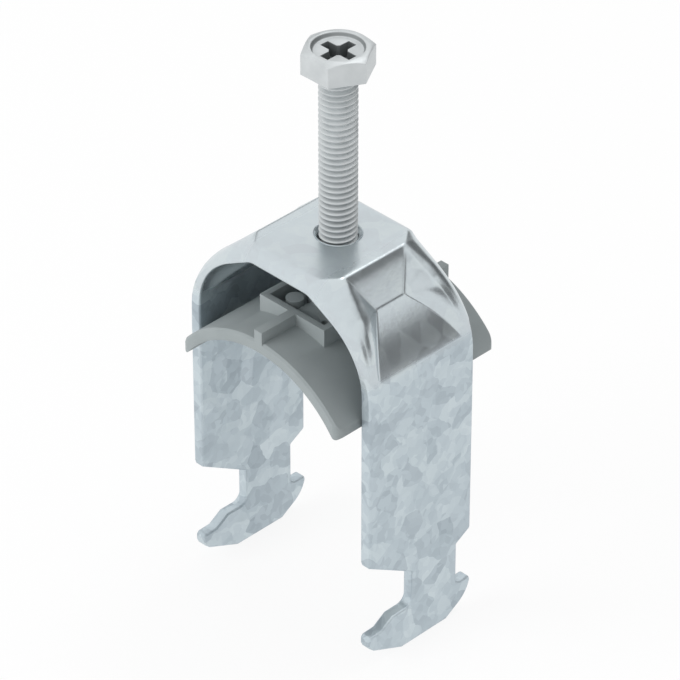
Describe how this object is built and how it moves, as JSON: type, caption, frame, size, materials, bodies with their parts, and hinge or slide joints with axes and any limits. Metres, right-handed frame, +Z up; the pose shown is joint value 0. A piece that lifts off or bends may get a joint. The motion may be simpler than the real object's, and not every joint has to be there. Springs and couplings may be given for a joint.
{
  "type": "cable clamp",
  "caption": "Galvanised sheet cable clamp: a tall arched bracket with rail hooks, and a hexagon-head screw that presses a grey plastic trough down on the cable.",
  "frame": {"origin": "on the clamping screw's axis, level with the flat underside of the rail hooks", "axes": "+Z up along the screw axis towards its head, X across the two legs, -Y towards the long hooks (front)"},
  "size_m": [0.0388, 0.034, 0.0989],
  "materials": {
    "galvanised_sheet": "hot-dip galvanised, light blue-grey with faint spangle",
    "zinc_plated_screw": "matt zinc plating",
    "grey_plastic": "moulded mid grey, matt"
  },
  "bodies": {
    "bracket": {"clamp_bracket": "galvanised_sheet"},
    "trough": {"pressure_trough": "grey_plastic"},
    "screw": {"clamping_screw": "zinc_plated_screw"}
  },
  "joints": [
    {"name": "trough_slide", "type": "slide", "parent": "bracket", "child": "trough", "axis": [0, 0, 1], "range_m": [-0.0285, 0.004]},
    {"name": "screw_turn", "type": "hinge", "parent": "trough", "child": "screw", "pos_m": [0, 0, 0.0575], "axis": [0, 0, 1], "range_deg": [-10260, 1440]}
  ],
  "couplings": [
    {"joint": "screw_turn", "follows": "trough_slide", "rad_per_m": 6283.2}
  ]
}
